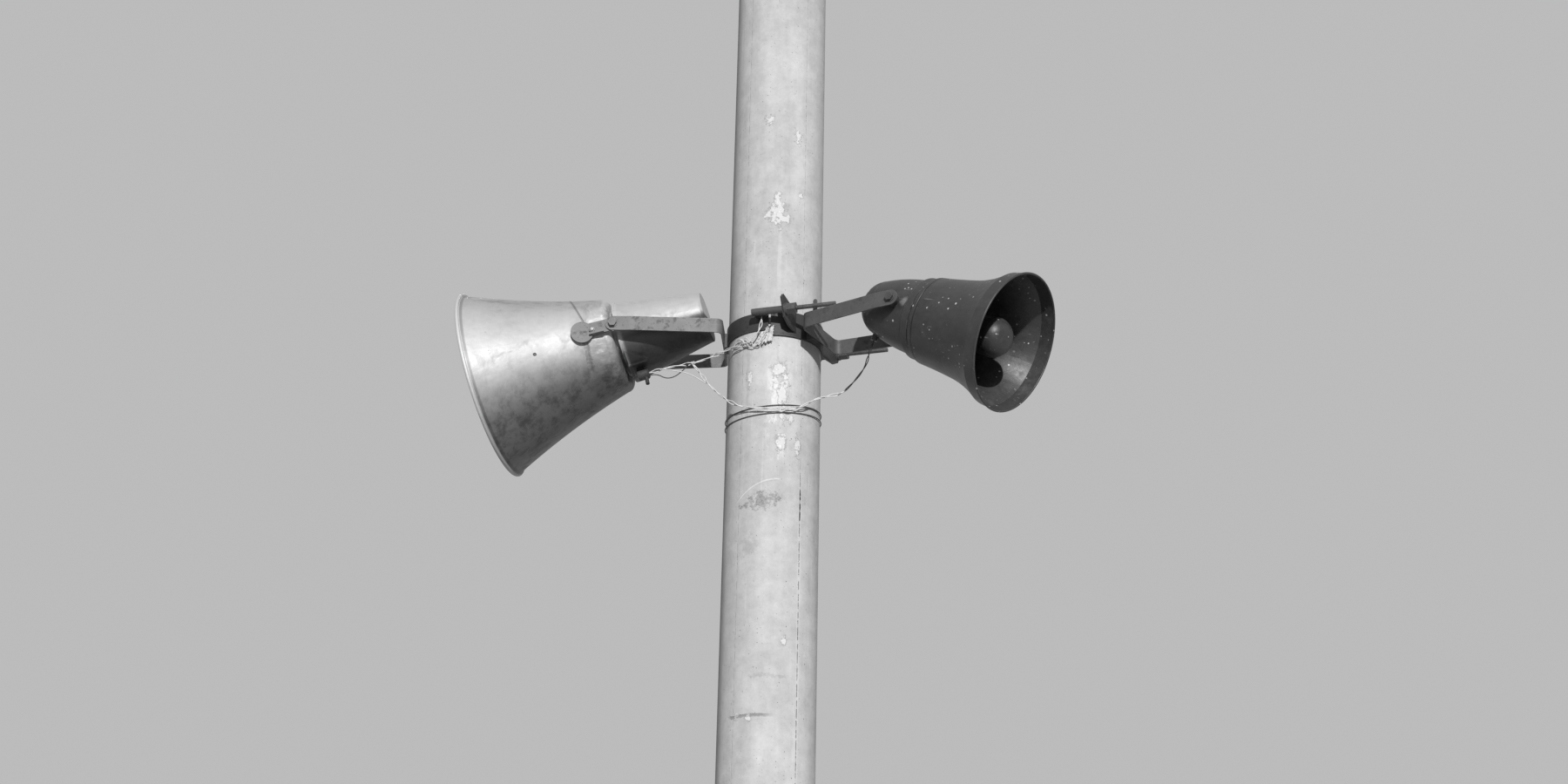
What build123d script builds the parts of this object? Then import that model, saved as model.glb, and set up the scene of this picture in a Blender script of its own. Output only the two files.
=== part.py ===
"""A concrete pole that carries two reflex horn loudspeakers on a strap clamp.

Millimetres, +Z up. The origin is the centre of the pole's foot, at ground level.
The pole is seen along +Y, with the large horn on the left (-X) and the small one on the right (+X).
Turns are degrees about the pole, from +X. A horn's own frame starts at its pivots, with +x out of its mouth.
"""
from build123d import *
from math import radians, tan
import os

# Pole
POLE_R = 109.5
POLE_BORE_R = 62.0
POLE_H = 6000.0
POLE_FOOT = 150.0
CAP_R = 113.0
CAP_H = 40.0
CAP_PLUG_H = 60.0
CAP_ROUND = 18.0

# Gap between the pole and what is clamped on it
SEAT_GAP = 0.3

# Strap, which goes round the pole from the left, with a long bolt at each end
CLAMP_Z = 3900.0
BOLT_TURN = -17.0
STRAP_H = 44.0
STRAP_T = 4.0
STRAP_LEG = 18.0
BOLT_OFFSET = 139.0
BOLT_RISE = 13.0
SLEEVE_R = 8.5
SLEEVE_START = -14.0
ROD_R = 5.0
HOLE_GAP = 0.6
NUT_AF = 24.0
NUT_L = 20.0
WASHER_R = 14.0

# Saddle: the curved plate under the small horn, with an ear for each bolt
SADDLE_TURN = -27.0
SADDLE_T = 5.0
SADDLE_LOW = -36.0
SADDLE_HIGH = 26.0
SADDLE_HALF_ANGLE = 68.0
EAR_X = 86.0
EAR_T = 5.0
EAR_ROOT = 62.0
FRONT = dict(side=-1, hole=126.0, rod_end=187.0, washer=2.5)
REAR = dict(side=1, hole=156.0, rod_end=240.0, washer=2.5)

# Yokes: bent flat bars. The web lies on the clamp and the arms splay out to the pivots
BAR_T = 4.0
WEB_BEND_R = 16.0
ARM_BEND_R = 60.0
ARM_END = 40.0
TAB_X = 156.0
TAB_R = 5.0
TAB_T = 3.0
TAB_IN = 13.0
TAB_LOW = 10.0
TAB_RISE = 38.0
TAB_ARM = 105.0

# Pivots
PIVOT_R = 5.0
PIVOT_FIT = 0.3
BOLT_REACH = 9.0
HEAD_AF = 17.0
HEAD_L = 7.0
LUG_T = 4.0
LUG_H = 30.0
LUG_END_R = 15.0
LUG_FOOT_X = 74.0
LUG_FOOT_R = 26.0
LUG_PAD_R = 12.0
LIP_START = 24.0
LIP_L = 34.0
LIP_REACH = 8.0
BOSS_R = 14.0

# Horns
SHEET_T = 2.0
WALL_T = 3.0

# Large horn. Its outlines are pairs of distance ahead of the pivot and radius
LEFT = dict(
    side="left", near=1, turn=177.3, roll=-3.2, z=3893.2,
    bar=34.0, web_x=119.0, web_near=117.0, web_far=107.0, reach=371.0, arm_near=132.0, arm_far=129.0,
    axis_y=5.0, yaw=-8.3, tilt=15.4, rise=-4.5,
    mouth=(322.0, 223.0), flare=[(183.0, 167.0), (12.0, 114.4)], shoulder=(-1.0, 109.0), back=(-6.0, 97.0),
    rim_r=4.5, throat=20.0, bulb_r=66.0, bulb_x=222.0, tip_x=280.0, skirt_x=72.0, skirt_r=52.0,
    plate=[(-6.0, 80.0), (-16.0, 80.0), (-16.0, 98.0), (-21.0, 98.0)], unit_r=50.0, unit_l=60.0,
)
LEFT_CASE_R = 96.0
LEFT_CASE_END = (-215.0, 60.5)
LEFT_CAP_T = 6.0

# Small horn
RIGHT = dict(
    side="right", near=-1, turn=-29.0, roll=0.0, z=3884.5,
    bar=36.0, web_x=128.0, web_near=101.0, web_far=67.0, reach=363.0, arm_near=122.0, arm_far=88.0,
    axis_y=-17.0, yaw=-2.0, tilt=25.8, rise=0.0,
    mouth=(288.5, 156.5),
    flare=[(258.5, 152.0), (228.5, 135.5), (168.5, 115.5), (119.0, 107.5), (70.0, 101.5)],
    shoulder=(64.5, 99.5), back=(61.5, 94.0),
    rim_r=2.5, throat=16.0, bulb_r=46.0, bulb_x=232.0, tip_x=274.5, skirt_x=98.0, skirt_r=37.0,
    plate=[(61.5, 92.0), (59.5, 95.5), (42.5, 95.5), (38.5, 91.5)], unit_r=42.0, unit_l=45.0,
)
RIGHT_CASE = [(38.5, 88.0), (-21.5, 79.7), (-75.5, 64.0)]
RIGHT_DOME = [(-75.5, 64.0), (-103.5, 48.0), (-118.5, 14.0)]

# Cable entry on the large horn's case: a three-cornered cover with a lip, and a gland
COVER_TURN = 44.0
COVER_L = 45.0
COVER_LOW = -14.0
COVER_HIGH = 22.0
COVER_OUT = 103.0
COVER_LIP = 7.0
GLAND_TURN = 15.0
GLAND_AT = 109.0
GLAND_R = 13.0
GLAND_START = -32.0
GLAND_L = 26.0
STUB_R = 4.5
STUB_L = 30.0

# Cable entry on the small horn's case
OUTLET_X = -66.5
OUTLET_R = 8.0
OUTLET_OUT = 80.0

# Wires tied round the pole, as height and slopes to the right and to the front
TIE_WIRE_R = 1.2
TIE_RING_R = POLE_R + TIE_WIRE_R + 1.2
TIES = dict(upper=(3697.0, -5.4, -4.6), lower=(3679.0, -5.4, -5.0))

# Speaker wires, a twisted pair each
PAIR_R = 2.5
STRAND_R = 1.25
LEFT_WIRE = [
    (-292.4, -26.3, 3800.4), (-249.0, -35.5, 3812.1), (-190.4, -33.0, 3823.2), (-144.9, -40.0, 3839.0),
    (-102.0, -68.0, 3849.5), (-73.2, -100.0, 3844.4), (-47.0, -117.0, 3851.5), (-31.0, -120.5, 3885.0),
    (-31.0, -120.5, 3907.0),
]
LOOSE_STRAND = [
    (-290.8, -28.3, 3792.8), (-275.7, -31.5, 3796.9), (-249.0, -33.0, 3781.8), (-221.0, -33.0, 3794.7),
    (-203.6, -33.5, 3817.3),
]
CROSS_WIRE = [
    (-190.0, -33.3, 3820.4), (-172.1, -38.0, 3798.0), (-152.6, -48.0, 3765.1), (-131.2, -64.0, 3737.7),
    (-108.0, -84.0, 3710.9), (-83.2, -100.0, 3690.9), (-57.0, -108.4, 3682.0), (-23.0, -120.3, 3676.6),
    (10.8, -122.0, 3674.9), (42.6, -114.9, 3678.6), (70.4, -100.9, 3692.4), (96.2, -93.0, 3713.7),
    (126.4, -82.0, 3725.6), (156.5, -80.0, 3733.7), (176.3, -86.0, 3751.3), (196.0, -94.0, 3773.4),
    (212.5, -104.0, 3796.9), (218.0, -136.0, 3817.1), (228.1, -142.1, 3841.4),
]
CROSS_STRAND = [
    (-256.0, -35.0, 3806.6), (-232.0, -37.0, 3802.0), (-205.0, -39.0, 3797.0), (-184.0, -42.0, 3786.0),
    (-167.0, -45.0, 3774.0), (-157.8, -47.3, 3767.2),
]

UP = (Align.CENTER, Align.CENTER, Align.MIN)


def save(node, shape):
    """Write one node's solids to its STEP file."""
    export_step(shape, f"parts/{node}.step")


def round_pole(turn, z, roll=0.0):
    """The frame of a piece on the pole: +x away from the pole at that turn, at that height."""
    return Pos(0, 0, z) * Rot(0, 0, turn) * Rot(roll, 0, 0)


def yoke_frame(horn):
    """The frame of a yoke: +x towards its pivots."""
    return round_pole(horn["turn"], horn["z"], horn["roll"])


def arm_half(horn):
    """Half the distance between the middles of a yoke's arms, at the pivots."""
    return (horn["arm_near"] + horn["arm_far"]) / 2


def lug_frame(horn):
    """The frame of a horn's lugs: y is the line of its pivots, and x follows the horn's tilt."""
    middle = horn["near"] * (horn["arm_near"] - horn["arm_far"]) / 2
    return yoke_frame(horn) * Pos(horn["reach"], middle, 0) * Rot(0, horn["tilt"], 0)


def horn_frame(horn):
    """The frame of a horn: +x out of its mouth, from the pivots."""
    pivot = yoke_frame(horn) * Pos(horn["reach"], horn["axis_y"], 0)
    return pivot * Rot(0, 0, horn["yaw"]) * Rot(0, horn["tilt"], 0) * Pos(0, 0, horn["rise"])


def tube(outer, inner, low, high):
    """A tube about the pole's axis, between two heights."""
    return Pos(0, 0, low) * extrude(Circle(outer) - Circle(inner), high - low)


def revolved(*edges):
    """The solid that a closed outline in the x, radius plane makes about the x axis."""
    return revolve(make_face(edges), axis=Axis.X)


def turned(*points):
    """The solid that straight lines through these points, and back to the first, make about the x axis."""
    return revolve(make_face(Polyline(*points, close=True)), axis=Axis.X)


def pole():
    """The spun concrete shaft with its bore, and the cap that plugs it."""
    bore = Pos(0, 0, POLE_FOOT) * Cylinder(POLE_BORE_R, POLE_H, align=UP)
    save("pole_shaft", Cylinder(POLE_R, POLE_H, align=UP) - bore)
    cap = fillet(Cylinder(CAP_R, CAP_H, align=UP).edges().sort_by(Axis.Z)[-1], CAP_ROUND)
    plug = Pos(0, 0, -CAP_PLUG_H) * Cylinder(POLE_BORE_R - 1, CAP_PLUG_H, align=UP)
    save("pole_cap", Pos(0, 0, POLE_H) * (cap + plug))


def bolt_line(end):
    """The frame of one clamp bolt: +z runs along it, towards the small horn."""
    return round_pole(BOLT_TURN, CLAMP_Z) * Pos(0, end["side"] * BOLT_OFFSET, BOLT_RISE) * Rot(0, 90, 0)


def strap():
    """The flat strap, with a lug to each bolt's sleeve and the seat of the large horn's yoke."""
    inner = POLE_R + SEAT_GAP
    outer = inner + STRAP_T
    half = STRAP_H / 2
    band = tube(outer, inner, -half, half) & Pos(-outer, 0, 0) * Box(2 * outer, 2 * outer, STRAP_H)
    lug_reach = BOLT_OFFSET - SLEEVE_R + 1 - outer
    for side in (-1, 1):
        band += Pos(STRAP_LEG / 2, side * (inner + STRAP_T / 2), 0) * Box(STRAP_LEG, STRAP_T, STRAP_H)
        band += Pos(3, side * (outer + lug_reach / 2), BOLT_RISE) * Box(26, lug_reach + 1, 12)
    band = round_pole(BOLT_TURN, CLAMP_Z) * band
    for end in (FRONT, REAR):
        band -= bolt_line(end) * Cylinder(SLEEVE_R, 400)
    seat_x = LEFT["web_x"] - BAR_T / 2
    seat = Pos(seat_x - 10, 0, 0) * Box(20, 48, LEFT["bar"])
    clear = Cylinder(outer - 1, 200)
    save("clamp_strap", band + (yoke_frame(LEFT) * seat - Pos(0, 0, CLAMP_Z) * clear))


def ear(end):
    """One ear of the saddle, a pointed plate with a hole along its bolt, in the saddle's frame."""
    hole = end["hole"]
    outline = [
        (EAR_ROOT, SADDLE_LOW + 8), (hole - 20, -20), (hole + 2, -8), (hole + 20, 36), (hole + 12, 46),
        (hole - 22, 36), (EAR_ROOT, SADDLE_HIGH - 4),
    ]
    face = make_face(Polyline(*[(end["side"] * y, z) for y, z in outline], close=True))
    return Pos(EAR_X, 0, 0) * extrude(Plane.YZ * face, EAR_T)


def saddle():
    """The curved plate on the small horn's side, with its two ears and the seat of the yoke."""
    inner = POLE_R + SEAT_GAP
    outer = inner + SADDLE_T
    reach = 2 * outer
    side = reach * tan(radians(SADDLE_HALF_ANGLE))
    sector = extrude(make_face(Polyline((0, 0), (reach, side), (reach, -side), close=True)), 200, both=True)
    plate = tube(outer, inner, SADDLE_LOW, SADDLE_HIGH) & sector
    plate += ear(FRONT) + ear(REAR) - Cylinder(outer - 1, 400)
    plate = round_pole(SADDLE_TURN, CLAMP_Z) * plate
    for end in (FRONT, REAR):
        plate -= bolt_line(end) * Cylinder(ROD_R + HOLE_GAP, 800)
    seat = Pos(RIGHT["web_x"] - BAR_T / 2 - 10, RIGHT["axis_y"], 0) * Box(20, 46, RIGHT["bar"] + 4)
    clear = Pos(0, 0, CLAMP_Z) * Cylinder(outer - 1, 400)
    save("clamp_saddle", plate + (yoke_frame(RIGHT) * seat - clear))


def clamp_bolts():
    """Two long bolts: a thick sleeve from the strap to the ear, then a threaded rod with a nut."""
    saddle_frame = round_pole(SADDLE_TURN, CLAMP_Z)
    behind_ear = saddle_frame * Pos(EAR_X + 300, 0, 0) * Box(600, 800, 400)
    before_ear = saddle_frame * Pos(EAR_X + EAR_T - 300, 0, 0) * Box(600, 800, 400)
    skew = radians(BOLT_TURN - SADDLE_TURN)
    for name, end in (("front", FRONT), ("rear", REAR)):
        line = bolt_line(end)
        sleeve = line * Pos(0, 0, SLEEVE_START) * Cylinder(SLEEVE_R, 200, align=UP) - behind_ear
        rod_start = SLEEVE_START + 10
        rod = line * Pos(0, 0, rod_start) * Cylinder(ROD_R, end["rod_end"] - rod_start, align=UP)
        save(f"clamp_bolt_{name}", sleeve + rod)
        hole = saddle_frame * Pos(EAR_X + EAR_T, end["side"] * end["hole"], BOLT_RISE)
        face_s = (line.inverse() * hole).position.Z
        nut_s = face_s + WASHER_R * tan(skew) + end["washer"]
        washer = line * Pos(0, 0, face_s - 10) * Cylinder(WASHER_R, nut_s - face_s + 10, align=UP) - before_ear
        nut = line * Pos(0, 0, nut_s) * extrude(RegularPolygon(NUT_AF / 2, 6, major_radius=False), NUT_L)
        save(f"clamp_nut_{name}", washer + nut - line * Cylinder(ROD_R, 800))


def yoke(horn):
    """One flat bar bent to a U: its web on the clamp's seat, its arms splayed out to the pivots."""
    web_x = horn["web_x"]
    reach = horn["reach"]
    near = horn["near"] * horn["arm_near"]
    far = -horn["near"] * horn["arm_far"]
    points = [
        (reach, near), (reach - ARM_END, near), (web_x, horn["near"] * horn["web_near"]),
        (web_x, -horn["near"] * horn["web_far"]), (reach - ARM_END, far), (reach, far),
    ]
    path = FilletPolyline(*points, radius=[ARM_BEND_R, WEB_BEND_R, WEB_BEND_R, ARM_BEND_R])
    section = Plane(origin=path @ 0, x_dir=(0, 0, 1), z_dir=path % 0) * Rectangle(horn["bar"], BAR_T)
    bar = sweep(section, path=path)
    for y in (near, far):
        bar += Pos(reach, y, 0) * Rot(90, 0, 0) * Cylinder(horn["bar"] / 2, BAR_T)
    for y in (near, far):
        bar -= Pos(reach, y, 0) * Rot(90, 0, 0) * Cylinder(PIVOT_R, 4 * BAR_T)
    return bar


def cleat():
    """The small upright cleat inside the near arm of the small horn's yoke, beside the web."""
    plate = Box(2 * TAB_R, TAB_T, TAB_RISE, align=UP)
    plate += Pos(0, 0, TAB_RISE) * Rot(90, 0, 0) * Cylinder(TAB_R, TAB_T)
    foot = Pos(0, -TAB_IN / 2, 3) * Box(2 * TAB_R, TAB_IN, 6)
    return Pos(TAB_X, TAB_IN - TAB_ARM, TAB_LOW) * (plate + foot)


def pivot_bolt(horn, side, y):
    """A hex-headed bolt through one arm, its shank reaching into the horn's lug."""
    outside = Pos(horn["reach"], y + side * BAR_T / 2, 0) * Rot(-90 * side, 0, 0)
    washer = outside * Cylinder(11, 2, align=UP)
    head = outside * Pos(0, 0, 2) * extrude(RegularPolygon(HEAD_AF / 2, 6, major_radius=False), HEAD_L)
    shank = outside * Cylinder(PIVOT_R, BOLT_REACH, align=(Align.CENTER, Align.CENTER, Align.MAX))
    return washer + head + shank


def yokes():
    """Both yokes with their pivot bolts."""
    save("left_yoke", yoke_frame(LEFT) * yoke(LEFT))
    save("right_yoke", yoke_frame(RIGHT) * (yoke(RIGHT) + cleat()))
    for horn in (LEFT, RIGHT):
        for name, side in (("near", horn["near"]), ("far", -horn["near"])):
            bolt = pivot_bolt(horn, side, side * horn[f"arm_{name}"])
            save(f"{horn['side']}_pivot_bolt_{name}", yoke_frame(horn) * bolt)


def bell_edges(horn, inset):
    """The bell's outline from its mouth to its throat, drawn in by inset."""
    mouth = (horn["mouth"][0], horn["mouth"][1] - inset)
    flare = [(x, r - inset) for x, r in horn["flare"]]
    shoulder = (horn["shoulder"][0] + 0.7 * inset, horn["shoulder"][1] - 0.7 * inset)
    back = (horn["back"][0] + inset, horn["back"][1] - inset)
    throat = (back[0], horn["throat"])
    edges = []
    start = mouth
    if len(flare) % 2:
        edges.append(Line(start, flare[0]))
        start = flare.pop(0)
    for middle, end in zip(flare[::2], flare[1::2]):
        edges.append(ThreePointArc(start, middle, end))
        start = end
    edges.append(ThreePointArc(start, shoulder, back))
    edges.append(Line(back, throat))
    return edges


def bell(horn):
    """The spun bell with its flat back wall and the rolled rim of its mouth."""
    outer = bell_edges(horn, 0)
    inner = bell_edges(horn, SHEET_T)
    mouth_x, mouth_r = horn["mouth"]
    lip = Line((mouth_x, mouth_r), (mouth_x, mouth_r - SHEET_T))
    hole = Line(outer[-1] @ 1, inner[-1] @ 1)
    shell = revolved(*outer, hole, *inner, lip)
    return shell + revolve(Pos(mouth_x, mouth_r) * Circle(horn["rim_r"]), axis=Axis.X)


def bell_form(horn):
    """The bell as a closed solid, to seat pieces on it."""
    outer = bell_edges(horn, 0)
    end = outer[-1] @ 1
    mouth_x, mouth_r = horn["mouth"]
    rear = Line(end, (end.X, 0))
    front = Line((mouth_x, 0), (mouth_x, mouth_r))
    return revolved(*outer, rear, Line(rear @ 1, front @ 0), front)


def bulb_form(horn, inset):
    """The domed bulb as a closed solid, its walls drawn in by inset."""
    bulb_x = horn["bulb_x"]
    bulb_r = horn["bulb_r"] - inset
    tip_x = horn["tip_x"] - inset
    skirt = (horn["skirt_x"], horn["skirt_r"] - inset)
    dome = EllipticalCenterArc((bulb_x, 0), tip_x - bulb_x, bulb_r, arc_size=90)
    foot = (skirt[0], 0)
    return revolved(dome, Line((bulb_x, bulb_r), skirt), Line(skirt, foot), Line(foot, (tip_x, 0)))


def sound_path(horn, plate_end):
    """The throat tube and, round it, the bulb that folds the sound back, on three ribs."""
    throat = horn["throat"]
    back_x = horn["back"][0]
    tube_end = horn["bulb_x"] - 10
    flared = throat + 5
    bell_back = back_x + SHEET_T
    throat_tube = turned((plate_end, throat - SHEET_T), (plate_end, throat), (bell_back, throat),
                         (tube_end, flared), (tube_end, flared - SHEET_T), (bell_back, throat - SHEET_T))
    filled = turned((plate_end, 0), (plate_end, throat), (bell_back, throat),
                    (tube_end, flared), (tube_end, 0))
    inside = bulb_form(horn, SHEET_T)
    reflector = bulb_form(horn, 0) - inside
    for turn in (90, 210, 330):
        rib = Rot(turn, 0, 0) * Pos(horn["skirt_x"] + 40, 0, horn["bulb_r"] / 2) * Box(16, 2, horn["bulb_r"])
        reflector += (rib & inside) - filled
    return throat_tube, reflector


def left_case():
    """The large horn's driver case, a tapered can, and its flat cover."""
    start = LEFT["plate"][-1][0]
    end, end_r = LEFT_CASE_END
    can = turned((start, LEFT_CASE_R), (end, end_r), (end, 0), (end + WALL_T, 0),
                 (end + WALL_T, end_r - WALL_T), (start, LEFT_CASE_R - WALL_T))
    cover = turned((end, 0), (end, end_r), (end - LEFT_CAP_T + 1.5, end_r), (end - LEFT_CAP_T, end_r - 1.5),
                   (end - LEFT_CAP_T, 0))
    return can, cover


def closed(outline, start_x):
    """The solid of an outline that runs rearwards from start_x, closed flat at both ends."""
    tip = outline @ 1
    foot = (start_x, 0)
    return revolved(outline, Line(tip, (tip.X, 0)), Line((tip.X, 0), foot), Line(foot, outline @ 0))


def right_case():
    """The small horn's driver case, a slim ogive, and the dome that closes it."""
    start, middle, end = RIGHT_CASE
    outer = ThreePointArc(start, middle, end)
    inner = ThreePointArc(*[(x, r - WALL_T) for x, r in RIGHT_CASE])
    can = revolved(outer, Line(end, inner @ 1), inner, Line(inner @ 0, start))
    round_off = ThreePointArc(*RIGHT_DOME)
    dome = closed(round_off, end[0])
    hollow = closed(ThreePointArc(*[(x + WALL_T, r - 1) for x, r in RIGHT_DOME]), end[0] + WALL_T)
    return can, dome - hollow


def right_case_form():
    """The small horn's case as a closed solid, to seat pieces on it."""
    can = closed(ThreePointArc(*RIGHT_CASE), RIGHT_CASE[0][0])
    return can + closed(ThreePointArc(*RIGHT_DOME), RIGHT_DOME[0][0])


def horn_body(horn):
    """Every piece of one horn that turns about its axis."""
    side = horn["side"]
    place = horn_frame(horn)
    save(f"{side}_bell", place * bell(horn))
    plate = horn["plate"]
    plate_end = plate[-1][0]
    back_plate = turned((plate[0][0], horn["throat"]), *plate, (plate_end, horn["throat"]))
    save(f"{side}_back_plate", place * back_plate)
    throat_tube, reflector = sound_path(horn, plate_end)
    save(f"{side}_throat_tube", place * throat_tube)
    save(f"{side}_reflector", place * reflector)
    can, cover = left_case() if horn is LEFT else right_case()
    save(f"{side}_driver_case", place * can)
    save(f"{side}_rear_cap", place * cover)
    unit = Pos(plate_end, 0, 0) * Rot(0, -90, 0) * Cylinder(horn["unit_r"], horn["unit_l"], align=UP)
    save(f"{side}_driver_unit", place * unit)


def left_lugs():
    """The bent straps from the large horn's bell to its pivots: flat at the arm, then along the bell."""
    core = horn_frame(LEFT) * bell_form(LEFT)
    outline = Circle(LUG_END_R) + Pos(LUG_FOOT_X / 2, 0) * Rectangle(LUG_FOOT_X, LUG_H)
    outline += Pos(LUG_FOOT_X, -3) * Circle(LUG_FOOT_R)
    outline -= Circle(PIVOT_R + PIVOT_FIT)
    outer = arm_half(LEFT) - BAR_T / 2 - SEAT_GAP
    for name, side, bend_x, slope in (("near", 1, 55.0, 0.14), ("far", -1, 20.0, 0.46)):
        tip = 120.0
        rise = slope * (tip - bend_x)
        plan = [(-30, outer), (bend_x, outer), (tip, outer + rise), (tip, outer + rise - LUG_T),
                (bend_x, outer - LUG_T), (-30, outer - LUG_T)]
        curtain = extrude(make_face(Polyline(*[(x, side * y) for x, y in plan], close=True)), 60, both=True)
        lug = curtain & (Plane.XZ * extrude(outline, 400, both=True))
        foot_y = outer + slope * (LUG_FOOT_X - bend_x) - LUG_T / 2
        lug += Pos(LUG_FOOT_X, side * foot_y, -3) * Rot(90 * side, 0, 0) * Cylinder(LUG_PAD_R, 20, align=UP)
        if side > 0:
            lug += Pos(LIP_START + LIP_L / 2, outer + LIP_REACH / 2 - LUG_T / 2, LUG_T / 2 - LUG_H / 2) * Box(
                LIP_L, LIP_REACH + LUG_T, LUG_T)
        save(f"left_pivot_boss_{name}", lug_frame(LEFT) * lug - core)


def right_lugs():
    """The round bosses on the small horn's case that the arms are bolted to."""
    core = horn_frame(RIGHT) * right_case_form()
    length = arm_half(RIGHT) - BAR_T / 2 - SEAT_GAP
    for name, side in (("near", -1), ("far", 1)):
        outward = Rot(-90 * side, 0, 0)
        boss = outward * Cylinder(BOSS_R, length, align=UP) - outward * Cylinder(PIVOT_R + PIVOT_FIT, 300)
        save(f"right_pivot_boss_{name}", lug_frame(RIGHT) * boss - core)


def cable_entries():
    """The cover and the cable gland under the large case, and the outlet under the small one."""
    start = LEFT["plate"][-1][0]
    end, end_r = LEFT_CASE_END
    case_form = turned((start, 0), (start, LEFT_CASE_R), (end, end_r), (end, 0))
    corners = [(start, COVER_LOW), (start, COVER_HIGH), (start - COVER_L, COVER_LOW)]
    cover = Pos(0, 0, -COVER_OUT) * extrude(make_face(Polyline(*corners, close=True)), COVER_OUT / 2)
    lip_at = Pos(start - COVER_L / 2 - 1, COVER_LOW - 1.5, -COVER_OUT - COVER_LIP)
    cover += lip_at * Box(COVER_L + 2, 3, 60, align=UP)
    cover = Rot(COVER_TURN, 0, 0) * cover - case_form
    place = horn_frame(LEFT)
    save("left_terminal_cover", place * cover)

    down = Rot(GLAND_TURN, 0, 0)
    barrel = Rot(0, -90, 0) * Cylinder(GLAND_R, GLAND_L, align=UP)
    barrel = chamfer(barrel.edges().sort_by(Axis.X)[0], 2.5)
    foot = Pos(-8, 0, 14) * Box(16, 16, 28)
    stub = Pos(-18, 0, 0) * Rot(180, 0, 0) * Cylinder(STUB_R, STUB_L, align=UP)
    gland = down * Pos(GLAND_START, 0, -GLAND_AT) * (barrel + foot + stub)
    save("left_cable_gland", place * (gland - case_form - cover))

    outlet = Pos(OUTLET_X, 0, -OUTLET_OUT) * Cylinder(OUTLET_R, 30, align=UP)
    save("right_cable_outlet", horn_frame(RIGHT) * (outlet - right_case_form()))


def corner_radii(points):
    """The arc at each inner point of a route: 0.45 of its shorter run over the half turn's tangent."""
    route = [Vector(*point) for point in points]
    radii = []
    for before, at, after in zip(route, route[1:], route[2:]):
        turn = (at - before).get_angle(after - at)
        shorter = min((at - before).length, (after - at).length)
        radii.append(0.45 * shorter / tan(radians(turn / 2)))
    return radii


def wire(node, points, radius):
    """A round wire along straight runs joined by tangent arcs."""
    radii = corner_radii(points)
    path = FilletPolyline(*points, radius=radii)
    section = Plane(origin=path @ 0, z_dir=path % 0) * Circle(radius)
    solid = sweep(section, path=path)
    save(node, solid)
    print(node, "length", round(path.length, 1), "volume over section times length",
          round(solid.volume / (section.area * path.length), 4), "radii", [round(r) for r in radii])


def wires():
    """The tie wires round the pole, and the speaker wires between the horns."""
    for name, (z, right_slope, front_slope) in TIES.items():
        ring = Torus(TIE_RING_R, TIE_WIRE_R)
        save(f"tie_wire_{name}", Pos(0, 0, z) * Rot(-front_slope, right_slope, 0) * ring)
    wire("left_speaker_wire", LEFT_WIRE, PAIR_R)
    wire("left_loose_strand", LOOSE_STRAND, STRAND_R)
    wire("cross_speaker_wire", CROSS_WIRE, PAIR_R)
    wire("cross_loose_strand", CROSS_STRAND, STRAND_R)


def build():
    os.makedirs("parts", exist_ok=True)
    pole()
    strap()
    saddle()
    clamp_bolts()
    yokes()
    horn_body(LEFT)
    horn_body(RIGHT)
    left_lugs()
    right_lugs()
    cable_entries()
    wires()


build()
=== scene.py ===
from math import cos, pi, radians, sin

import bpy
from mathutils import Matrix, Vector


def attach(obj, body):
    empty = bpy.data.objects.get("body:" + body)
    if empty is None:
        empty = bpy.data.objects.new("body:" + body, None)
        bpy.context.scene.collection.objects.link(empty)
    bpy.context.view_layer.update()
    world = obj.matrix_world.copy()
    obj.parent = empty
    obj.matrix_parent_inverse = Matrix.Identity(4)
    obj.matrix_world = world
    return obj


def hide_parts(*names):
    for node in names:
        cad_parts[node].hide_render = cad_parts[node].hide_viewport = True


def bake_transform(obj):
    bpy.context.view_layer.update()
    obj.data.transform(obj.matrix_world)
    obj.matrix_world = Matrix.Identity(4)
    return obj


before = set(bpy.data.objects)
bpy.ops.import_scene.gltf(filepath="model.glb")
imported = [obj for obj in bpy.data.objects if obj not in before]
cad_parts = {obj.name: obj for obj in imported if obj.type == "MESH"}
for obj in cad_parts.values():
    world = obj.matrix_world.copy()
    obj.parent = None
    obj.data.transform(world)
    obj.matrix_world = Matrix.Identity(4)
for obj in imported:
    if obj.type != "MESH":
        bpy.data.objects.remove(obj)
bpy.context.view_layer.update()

# Camera: at eye height, looking up at the clamp, rolled slightly
EYE = Vector((0.0239, -4.8696, 1.6526))
PITCH = radians(23.5)
ROLL = radians(1.15)
LENS = 52.0

# Lights: name, strength, spread, height and turn in degrees. The key is a low sun from the front right, which
# throws the rim's shadow into the small horn, and the fill is a soft one from behind, without a shine
LIGHTS = (
    ("key", 3.1, 1.5, 17.0, 6.0),
    ("fill", 2.3, 25.0, 40.0, 178.0),
)

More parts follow.
